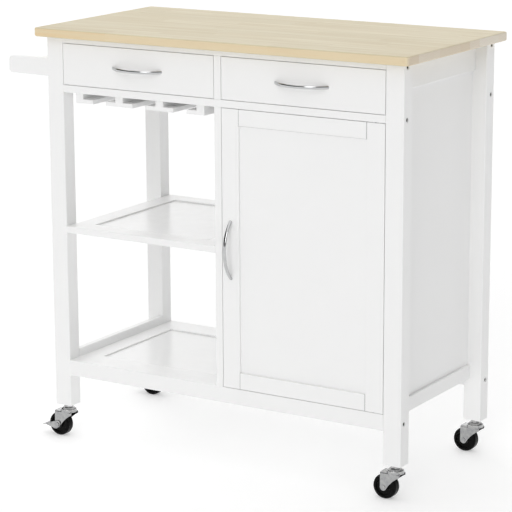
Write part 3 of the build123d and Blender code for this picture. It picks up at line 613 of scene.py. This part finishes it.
# %% Finish for each solid
CORNERS = ("front_left", "front_right", "rear_left", "rear_right")
dressing = {
    worktop_wood: ["tabletop"],
    paint_along_z: [f"{corner}_leg" for corner in CORNERS] + ["door_stiles", "drawer_divider"],
    paint_along_x: [
        "front_top_rail", "front_middle_rail", "front_bottom_rail", "rear_apron", "rear_bottom_rail",
        "middle_shelf_rails", "bottom_shelf_rails", "towel_arms",
        "left_drawer_front", "right_drawer_front",
    ],
    paint_along_y: [
        "left_upper_side_rail", "left_lower_side_rail", "right_upper_side_rail", "right_lower_side_rail",
        "middle_shelf_stiles", "bottom_shelf_stiles", "inner_stem_rails", "outer_stem_rails",
        "towel_dowel", "drawer_runners",
    ],
    door_rail_paint: ["door_rails"],
    painted_board: [
        "right_side_panel", "partition_panel", "cupboard_floor", "cupboard_back_panel", "door_panel",
    ],
    glossy_panel: ["middle_shelf_panel", "bottom_shelf_panel"],
    drawer_film: [
        f"{side}_drawer_{board}" for side in ("left", "right") for board in ("sides", "back", "bottom")
    ],
    chrome: ["left_drawer_handle", "right_drawer_handle", "door_handle"],
    zinc: [f"{corner}_caster_fork" for corner in CORNERS]
    + ["front_left_brake_lever", "rear_left_brake_lever", "door_pivots", "door_catch_plate"],
    # The stems' darker zinc is partly painted shade between cup and leg.
    stem_zinc: ["caster_stems"],
    bolt_black: ["frame_bolts"],
    wheel_black: [f"{corner}_caster_wheel" for corner in CORNERS],
    catch_white: ["door_catch"],
}
for finish, names in dressing.items():
    for name in names:
        nodes[name].data.materials.clear()
        nodes[name].data.materials.append(finish)
dressed = [name for names in dressing.values() for name in names]
print("dressed:", len(dressed), "left out:", sorted(set(nodes) - set(dressed)))

# %% [markdown]
# ## Surfaces from arrays
# The small pieces below are closed surfaces. Most are rings of points stacked from one pole to the other;
# a few close on themselves both ways, like a tyre.
# They could be lathed with modifiers, but a ring need not be round, as in the socket of a bolt,
# so the rings are worked out as one array, and the faces between them from the numbering of its points.


# %% Rings to mesh
def full_turn(count):
    """The angles of count equal steps round a circle."""
    return np.arange(count) * (2 * np.pi / count)


def squarish_loop(angle):
    """Points of the loop |across|^8 + |up|^8 = 1, a square with rounded corners."""
    across = np.sign(np.cos(angle)) * np.abs(np.cos(angle)) ** 0.25
    up = np.sign(np.sin(angle)) * np.abs(np.sin(angle)) ** 0.25
    return across, up


def rings_to_faces(ring_count, point_count):
    """Quads between neighbouring rings, and a fan from each end ring to its pole;
    the poles are the last two points."""
    ring, point = np.meshgrid(np.arange(ring_count - 1), np.arange(point_count), indexing="ij")
    after = (point + 1) % point_count
    low, high = ring * point_count, (ring + 1) * point_count
    quads = np.stack([low + point, low + after, high + after, high + point], axis=-1).reshape(-1, 4)
    around = np.arange(point_count)
    following = (around + 1) % point_count
    first_pole = np.full(point_count, ring_count * point_count)
    last = (ring_count - 1) * point_count
    fans = np.concatenate([
        np.stack([first_pole, following, around], axis=-1),
        np.stack([first_pole + 1, last + around, last + following], axis=-1),
    ])
    return quads, fans


def loops_to_faces(ring_count, point_count):
    """Quads over a surface that closes on itself both ways, like a tyre."""
    ring, point = np.meshgrid(np.arange(ring_count), np.arange(point_count), indexing="ij")
    low, after = ring * point_count, (point + 1) % point_count
    high = (ring + 1) % ring_count * point_count
    quads = np.stack([low + point, low + after, high + after, high + point], axis=-1)
    return (quads.reshape(-1, 4),)


print("face helpers are ready")

# %% [markdown]
# ### Pieces that ride on a body
# Bolts and screws come in sets of one shape. Each could be an object of its own.
# One object for a whole set is easier to keep in order, and moves with the body it is fastened to.


# %% Pieces from surfaces
def put_copies(name, shape, faces, places, turns, finish, body, crease=35):
    """One object with a copy of the shape at each place, turned by that copy's 3 x 3 matrix."""
    copies = np.einsum("kij,nj->kni", np.asarray(turns), shape) + np.asarray(places)[:, None, :]
    steps = (np.arange(len(copies)) * len(shape))[:, None, None]
    all_faces = []
    for group in faces:
        all_faces += (group[None] + steps).reshape(-1, group.shape[1]).tolist()
    mesh = bpy.data.meshes.new(name)
    mesh.from_pydata(copies.reshape(-1, 3).tolist(), [], all_faces)
    mesh.polygons.foreach_set("use_smooth", np.ones(len(mesh.polygons), dtype=bool))
    mesh.set_sharp_from_angle(angle=math.radians(crease))
    mesh.materials.append(finish)
    piece = bpy.data.objects.new(name, mesh)
    bpy.context.scene.collection.objects.link(piece)
    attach(piece, body)
    print(name, "faces:", len(all_faces), "copies:", len(copies))
    return piece


def turned_about(first, angles):
    """Matrices whose first column is the axis first; each turns the shape about it by its angle."""
    axis = np.asarray(first, float)
    side = np.cross((0.0, 0.0, 1.0), axis) if abs(axis[2]) < 0.9 else np.array((0.0, 1.0, 0.0))
    third = np.cross(axis, side)
    cosine, sine = np.cos(angles)[:, None], np.sin(angles)[:, None]
    columns = [
        np.broadcast_to(axis, (len(angles), 3)), cosine * side + sine * third, cosine * third - sine * side,
    ]
    return np.stack(columns, axis=-1)


print("piece helpers are ready")

# %% [markdown]
# ## Frame bolts
# Twelve bolts hold the rails to the legs. Their heads are sunk in the outer faces of the legs,
# and each has a six-sided socket for a key.
# A head could be a cylinder with a hexagon cut out of it. Here it is one stack of rings:
# the ring's distance from the axis is constant on the shank and the head,
# and follows a hexagon inside the socket.

# %% Bolt shape
HEAD_RADIUS, HEAD_HEIGHT, SHANK_RADIUS = 4.3 * MM, 4.0 * MM, 3.0 * MM
SOCKET_FLATS, SOCKET_DEPTH, SOCKET_EASE, SOCKET_POINT = 4.2 * MM, 2.4 * MM, 0.25 * MM, 0.3 * MM
SOCKET_TAPER = 0.98
BOLT_LENGTH, TIP_LENGTH, TIP_BEVEL = 52.0 * MM, 0.8 * MM, 0.7 * MM
# How the edge of the head is rounded: how deep below its face, and how far in from its radius.
HEAD_ROUNDING = np.array([(0.0, 1.1), (0.15, 0.45), (0.55, 0.08), (0.8, 0.0)]) * MM


def socket_bolt():
    """Rings at (depth, radius) from the socket's floor out over the head and down the shank to its tip."""
    angle = full_turn(48)
    hexagon = SOCKET_FLATS / 2 / np.cos(np.mod(angle, np.pi / 3) - np.pi / 6)
    head = np.stack([HEAD_ROUNDING[:, 0], HEAD_RADIUS - HEAD_ROUNDING[:, 1]], axis=-1)
    shank = np.array([
        (HEAD_HEIGHT, HEAD_RADIUS), (HEAD_HEIGHT, SHANK_RADIUS),
        (BOLT_LENGTH - TIP_LENGTH, SHANK_RADIUS), (BOLT_LENGTH, SHANK_RADIUS - TIP_BEVEL),
    ])
    round_stations = np.concatenate([head, shank])
    depth = np.concatenate([[SOCKET_DEPTH, SOCKET_EASE, 0.0], round_stations[:, 0]])
    radius = np.concatenate([
        np.stack([hexagon * SOCKET_TAPER, hexagon, hexagon + SOCKET_EASE]),
        np.repeat(round_stations[:, 1:], len(angle), axis=1),
    ])
    rings = np.stack([
        np.repeat(-depth[:, None], len(angle), axis=1), radius * np.cos(angle), radius * np.sin(angle),
    ], axis=-1)
    poles = np.array([(-SOCKET_DEPTH - SOCKET_POINT, 0, 0), (-BOLT_LENGTH, 0, 0)])
    return np.concatenate([rings.reshape(-1, 3), poles]), rings_to_faces(*rings.shape[:2])


bolt_shape, bolt_faces = socket_bolt()
print("points of one bolt:", len(bolt_shape))

# %% [markdown]
# ### Bolts in the legs
# The bolts stand where their solids stand, three to a leg, so their places come from the solids' box.
# Each socket stays turned as the key left it, so the turns are drawn by lot.

# %% Bolts in the legs
dice = np.random.default_rng(8)
bolt_low, bolt_high = (np.array(corner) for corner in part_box("frame_bolts"))
bolt_heights = [
    bolt_low[2] + HEAD_RADIUS,
    (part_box("front_middle_rail")[0].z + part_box("front_middle_rail")[1].z) / 2,
    bolt_high[2] - HEAD_RADIUS,
]
bolt_sides = [bolt_low[1] + HEAD_RADIUS, bolt_high[1] - HEAD_RADIUS]
bolt_places = [(x, y, z) for x in (bolt_low[0], bolt_high[0]) for y in bolt_sides for z in bolt_heights]
bolt_turns = np.concatenate([
    turned_about((side, 0, 0), dice.uniform(0, np.pi / 3, 6)) for side in (-1, 1)
])
leg_bolts = put_copies(
    "leg_bolts", bolt_shape, bolt_faces, bolt_places, bolt_turns, bolt_black, "cart_frame",
)
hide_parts("frame_bolts")

# %% [markdown]
# ## Bow handles
# A bow handle is a chromed strip, domed on its outer side, bent to one arc
# and cut flat where it stands on the wood.
# The dome matters more than anything else for its look:
# it gathers the whole studio into narrow bright and dark streaks.
# It could be swept along a curve object. Here the surface is written as a formula of two values,
# the way along the arc and the way round the section, so that both feet end exactly on the wood.

# %% Handles
STRIP_WIDTH, STRIP_THICKNESS = 7 * MM, 4 * MM
CHORD = 116 * MM
ROUND_FRONT, FLATTER_BACK = 1.0, 0.6


def bow_handle(reach):
    """Each point of the section runs on its own arc until it meets the wood,
    at cos(angle) = (radius - rise) / (radius + offset)."""
    rise = reach - STRIP_THICKNESS / 2
    radius = ((CHORD / 2) ** 2 + rise**2) / (2 * rise)
    turn = full_turn(48)
    across = STRIP_WIDTH / 2 * np.cos(turn)
    fullness = np.where(np.sin(turn) > 0, ROUND_FRONT, FLATTER_BACK)
    offset = STRIP_THICKNESS / 2 * np.sign(np.sin(turn)) * np.abs(np.sin(turn)) ** fullness
    foot = np.arccos((radius - rise) / (radius + offset))
    angle = np.linspace(-1, 1, 81)[:, None] * foot
    rings = np.stack([
        (radius + offset) * np.cos(angle) + rise - radius,
        (radius + offset) * np.sin(angle),
        np.broadcast_to(across, angle.shape),
    ], axis=-1)
    feet = rings[[0, -1]].mean(axis=1)
    return np.concatenate([rings.reshape(-1, 3), feet]), rings_to_faces(*rings.shape[:2])


def put_handle(node, body, upright):
    """The handle in place of its solid; its arc lies level, or upright on the door."""
    low, high = (np.array(corner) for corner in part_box(node))
    foot_middle = (low + high) / 2
    foot_middle[1] = high[1]
    shape, faces = bow_handle(high[1] - low[1])
    outward, level, up = (0, -1, 0), (1, 0, 0), (0, 0, 1)
    turn = np.stack([outward, up, (-1, 0, 0)] if upright else [outward, level, up], axis=-1)
    handle = put_copies(f"{node}_bow", shape, faces, [foot_middle], [turn], chrome, body, crease=50)
    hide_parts(node)
    return handle


put_handle("left_drawer_handle", "left_drawer", upright=False)
put_handle("right_drawer_handle", "right_drawer", upright=False)
put_handle("door_handle", "door", upright=True)

# %% [markdown]
# ## Rolled rims on the casters
# The cup that holds a caster's ball race is pressed from sheet,
# and its edge is rolled over to a smooth bead. The bead is the brightest line on the caster, by its round
# shape and by a lighter zinc that is a painted highlight.
# A bead is a tyre with a small round section. A torus primitive would do it, too;
# with a formula the section can be a little flatter on top, as a rolled edge is.

# %% Rims
CUP_RADIUS = 17 * MM
BEAD_RADIUS, BEAD_HEIGHT = 1.0 * MM, 0.8 * MM


def rolled_rim():
    """Points at (cup radius - half a bead radius + bead radius * cos(turn)) from the axis,
    and bead height * sin(turn) up."""
    around = full_turn(96)[:, None]
    turn = -full_turn(16)
    distance = CUP_RADIUS - BEAD_RADIUS / 2 + BEAD_RADIUS * np.cos(turn)
    up = np.broadcast_to(BEAD_HEIGHT * np.sin(turn), (len(around), len(turn)))
    points = np.stack([up, distance * np.cos(around), distance * np.sin(around)], axis=-1)
    return points.reshape(-1, 3), loops_to_faces(*points.shape[:2])


rim_shape, rim_faces = rolled_rim()
for corner in CORNERS:
    fork_low, fork_high = (np.array(edge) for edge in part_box(f"{corner}_caster_fork"))
    cup_top = [(fork_high[0] - CUP_RADIUS, (fork_low[1] + fork_high[1]) / 2, fork_high[2])]
    # The rim gets the lighter zinc, a painted highlight.
    rim = put_copies(
        f"{corner}_caster_rim", rim_shape, rim_faces, cup_top,
        turned_about((0, 0, 1), np.zeros(1)), rim_zinc, f"{corner}_caster",
    )

# %% [markdown]
# ## Brake levers
# The two left casters can be braked: a lever of pressed sheet straddles the fork,
# turns on the axle with two ears, and ends behind the wheel in a pedal for the toe.
# The solid is a plain bent strip. A pressed lever is fuller: each ear is a kite with round corners,
# its edge is turned out to a lip that stiffens it, and the pedal has ribs and droops towards its tip.
# An ear could be drawn as a curve and extruded. Here its edge is a belt laid round four discs,
# so that every corner is round, the lip follows at an even distance,
# and it stays clear of the rivet on the axle.

# %% Ears of the lever
# Each disc is given by its place ahead of and above the axle, and its radius.
EAR_DISCS = np.array([(0.0, 0.0, 6.4), (1.0, 2.9, 6.3), (-4.5, -2.5, 7.2), (-27.0, -2.2, 2.2)]) * MM
EAR_INSIDE, EAR_OUTSIDE, EDGE = 13.7 * MM, 15.3 * MM, 0.3 * MM
LIP, LIP_CREST, LIP_ROOT = 0.7 * MM, 0.8 * MM, 1.3 * MM
AXLE_HOLE = 3.1 * MM


def lever_ear(side):
    """A plate with a hole and a lipped edge.
    For each outward direction the belt touches the disc that reaches furthest."""
    turn = full_turn(120)
    way = np.stack([np.cos(turn), np.sin(turn)], axis=-1)
    reach = way @ EAR_DISCS[:, :2].T + EAR_DISCS[:, 2]
    disc = EAR_DISCS[reach.argmax(axis=1)]
    section = np.array([
        (EDGE, EAR_INSIDE), (0, EAR_INSIDE + EDGE),
        (0, EAR_OUTSIDE + LIP - EDGE), (EDGE, EAR_OUTSIDE + LIP),
        (LIP_CREST, EAR_OUTSIDE + LIP), (LIP_ROOT, EAR_OUTSIDE),
    ])
    belt = disc[:, None, :2] + (disc[:, None, 2:] - section[:, :1]) * way[:, None]
    hole = np.repeat(AXLE_HOLE * way[:, None], 2, axis=1)
    flat = np.concatenate([belt, hole], axis=1)
    out = np.broadcast_to(np.concatenate([section[:, 1], [EAR_OUTSIDE, EAR_INSIDE]]), flat.shape[:2])
    points = np.stack([flat[..., 0], side * out, flat[..., 1]], axis=-1)[:, ::int(side)]
    return points.reshape(-1, 3), loops_to_faces(*points.shape[:2])


print("belt round", len(EAR_DISCS), "discs")

# %% [markdown]
# ### The pedal
# The pedal is a flat tongue with round corners, pressed into ribs that keep a shoe from slipping.
# It could be a bent plane that is given a thickness. One squarish loop carried along it is closed at once,
# and the ribs and the droop are only a height that is added on the way.

# %% Pedal and whole lever
PEDAL_START, PEDAL_LENGTH, PEDAL_CORNER, PEDAL_DROOP = 27.5 * MM, 12.5 * MM, 4.0 * MM, 3.3 * MM
PEDAL_HEIGHT, PEDAL_SHEET = -2.8 * MM, 1.6 * MM
RIB_HEIGHT, RIB_COUNT = 0.3 * MM, 3


def ribbed_pedal():
    """Squarish loops, half a width across and half a sheet up,
    carried from the wheel to the tip over ribs and a growing droop."""
    share = np.linspace(0, 1, 49)[:, None]
    across, up = squarish_loop(-full_turn(48))
    into_corner = np.clip(1 - PEDAL_LENGTH * (1 - share) / PEDAL_CORNER, 0, 1)
    half_width = EAR_OUTSIDE - PEDAL_CORNER * (1 - np.sqrt(1 - into_corner**2))
    ribs = RIB_HEIGHT * np.sin(2 * np.pi * RIB_COUNT * share) * np.sin(np.pi * share)
    level = PEDAL_HEIGHT - PEDAL_DROOP * share**2 + ribs
    rings = np.stack([
        np.broadcast_to(-PEDAL_START - PEDAL_LENGTH * share, (len(share), len(across))),
        half_width * across, level + PEDAL_SHEET / 2 * up,
    ], axis=-1)
    ends = rings[[0, -1]].mean(axis=1)
    return np.concatenate([rings.reshape(-1, 3), ends]), rings_to_faces(*rings.shape[:2])


def joined(*surfaces):
    """Several closed surfaces as one: their points in a row,
    and each one's faces moved on by the points before it."""
    points, faces, count = [], [], 0
    for surface_points, surface_faces in surfaces:
        points.append(surface_points)
        faces += [group + count for group in surface_faces]
        count += len(surface_points)
    return np.concatenate(points), faces


lever_shape, lever_faces = joined(lever_ear(-1), lever_ear(1), ribbed_pedal())
for corner in ("front_left", "rear_left"):
    wheel_low, wheel_high = (np.array(edge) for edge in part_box(f"{corner}_caster_wheel"))
    lever = put_copies(
        f"{corner}_brake_pedal", lever_shape, lever_faces, [(wheel_low + wheel_high) / 2],
        [np.eye(3)], zinc, f"{corner}_brake",
    )
    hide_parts(f"{corner}_brake_lever")

# %% [markdown]
# ## Handle screws
# Each bow handle is held by two screws, and their heads show inside the drawers and on the back of the door.
# A screw head is a low dome with a cross pressed into it. It could be cut with a boolean,
# but a height worked out over a round grid gives the dome and the cross in one surface.

# %% Screw shape
# The cross as shares of the head's radius, and the slope of its walls as a share of a bar.
CROSS_BAR, CROSS_REACH, CROSS_SLOPE = 0.12, 0.62, 0.3


def cross_head(radius, edge, dome, slot):
    """Height over a disc: edge, plus a parabola of height dome,
    less a cross of depth slot that is deepest at the middle."""
    angle = full_turn(64)
    distance = radius * np.linspace(0, 1, 22)[1:, None]
    across, up = distance * np.cos(angle), distance * np.sin(angle)
    bar, reach = CROSS_BAR * radius, CROSS_REACH * radius
    near_bar = np.minimum(np.abs(across), np.abs(up))
    in_bar = np.clip(((1 + CROSS_SLOPE) * bar - near_bar) / (CROSS_SLOPE * bar), 0, 1)
    pressed = in_bar * np.clip(1 - distance / reach, 0, 1)
    height = edge + dome * (1 - (distance / radius) ** 2) - slot * pressed
    top = np.stack([height, across, up], axis=-1)
    seat = top[-1:] * (0, 1, 1)
    rings = np.concatenate([top, seat])
    poles = np.array([(edge + dome - slot, 0, 0), (0, 0, 0)])
    return np.concatenate([rings.reshape(-1, 3), poles]), rings_to_faces(*rings.shape[:2])


screw_shape, screw_faces = cross_head(radius=3.8 * MM, edge=0.9 * MM, dome=1.5 * MM, slot=1.6 * MM)
print("points of one screw head:", len(screw_shape))

# %% [markdown]
# ### Screws behind the handles
# The screws pass through the board into the feet of the handle,
# so their places follow from the handle's box and the back of the board.

# %% Screws behind the handles
FOOT_INSET = 5 * MM


def handle_screws(handle, board, body, along):
    """Two screws on the back of a board, behind the feet of its handle;
    along is 0 for a level handle and 2 for an upright one."""
    low, high = (np.array(corner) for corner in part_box(handle))
    places = np.stack([(low + high) / 2] * 2)
    places[:, along] = low[along] + FOOT_INSET, high[along] - FOOT_INSET
    places[:, 1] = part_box(board)[1].y
    turns = turned_about((0, 1, 0), dice.uniform(0, np.pi / 2, 2))
    screws = put_copies(f"{handle}_screws", screw_shape, screw_faces, places, turns, zinc, body)
    return screws


handle_screws("left_drawer_handle", "left_drawer_front", "left_drawer", 0)
handle_screws("right_drawer_handle", "right_drawer_front", "right_drawer", 0)
handle_screws("door_handle", "door_stiles", "door", 2)

# %% [markdown]
# ## Poles of the catch
# The magnetic catch has two thin steel poles standing a hair out of its housing.
# A pole is a plate with rounded corners and an eased edge. It could be a box with a bevel modifier;
# here it is a loop between a circle and a rectangle, carried through the thickness.

# %% Catch poles
POLE_OFFSET = 3.2 * MM
POLE_HALF_WIDTH, POLE_HALF_HEIGHT, POLE_OUT, POLE_BEVEL = 1.2 * MM, 13 * MM, 0.2 * MM, 0.08 * MM


def rounded_plate(half_across, half_up, thickness, bevel):
    """Squarish loops at the face, below the bevel and at the foot, the first smaller by the bevel."""
    across, up = squarish_loop(full_turn(64))
    height = np.array([thickness, thickness - bevel, 0])[:, None]
    shrink = np.array([bevel, 0, 0])[:, None]
    rings = np.stack([
        np.broadcast_to(height, (len(height), len(across))),
        (half_across - shrink) * across, (half_up - shrink) * up,
    ], axis=-1)
    poles = np.array([(thickness, 0, 0), (0, 0, 0)])
    return np.concatenate([rings.reshape(-1, 3), poles]), rings_to_faces(*rings.shape[:2])


catch_low, catch_high = (np.array(corner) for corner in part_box("door_catch"))
pole_places = np.stack([(catch_low + catch_high) / 2] * 2)
pole_places[:, 0] += (-POLE_OFFSET, POLE_OFFSET)
pole_places[:, 1] = catch_low[1]
pole_shape, pole_faces = rounded_plate(POLE_HALF_WIDTH, POLE_HALF_HEIGHT, POLE_OUT, POLE_BEVEL)
catch_poles = put_copies(
    "catch_poles", pole_shape, pole_faces, pole_places,
    turned_about((0, -1, 0), np.zeros(2)), zinc, "cart_frame",
)

# %% [markdown]
# ### The screw of the plate
# One screw holds the steel plate on the door. The plate has to lie flat against the poles,
# so the screw is almost flush: the same head with a cross, only very low.

# %% Plate screw
PLATE_SCREW_TURN = 0.4
plate_low, plate_high = (np.array(corner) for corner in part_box("door_catch_plate"))
plate_middle = (plate_low + plate_high) / 2
plate_middle[1] = plate_high[1]
flat_shape, flat_faces = cross_head(radius=3.0 * MM, edge=0.05 * MM, dome=0.12 * MM, slot=0.14 * MM)
plate_screw = put_copies(
    "catch_plate_screw", flat_shape, flat_faces, [plate_middle],
    turned_about((0, 1, 0), np.array([PLATE_SCREW_TURN])), zinc, "door", crease=60,
)

# %% [markdown]
# ### Pins in the back panel
# Behind the cart the thin back panel is held to the partition by a row of small pins, evenly spaced.
# The head of a pin has no cross, so it is the screw head with a slot of no depth.

# %% Panel pins
PIN_COUNT, PIN_ABOVE_FOOT, PIN_BELOW_TOP = 7, 40 * MM, 60 * MM
partition_low, partition_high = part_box("partition_panel")
panel_low, panel_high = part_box("cupboard_back_panel")
pin_places = np.stack([
    np.full(PIN_COUNT, (partition_low.x + partition_high.x) / 2),
    np.full(PIN_COUNT, panel_high.y),
    np.linspace(panel_low.z + PIN_ABOVE_FOOT, panel_high.z - PIN_BELOW_TOP, PIN_COUNT),
], axis=-1)
pin_shape, pin_faces = cross_head(radius=1.7 * MM, edge=0.1 * MM, dome=0.3 * MM, slot=0.0)
panel_pins = put_copies(
    "panel_pins", pin_shape, pin_faces, pin_places,
    turned_about((0, 1, 0), np.zeros(PIN_COUNT)), zinc, "cart_frame",
)
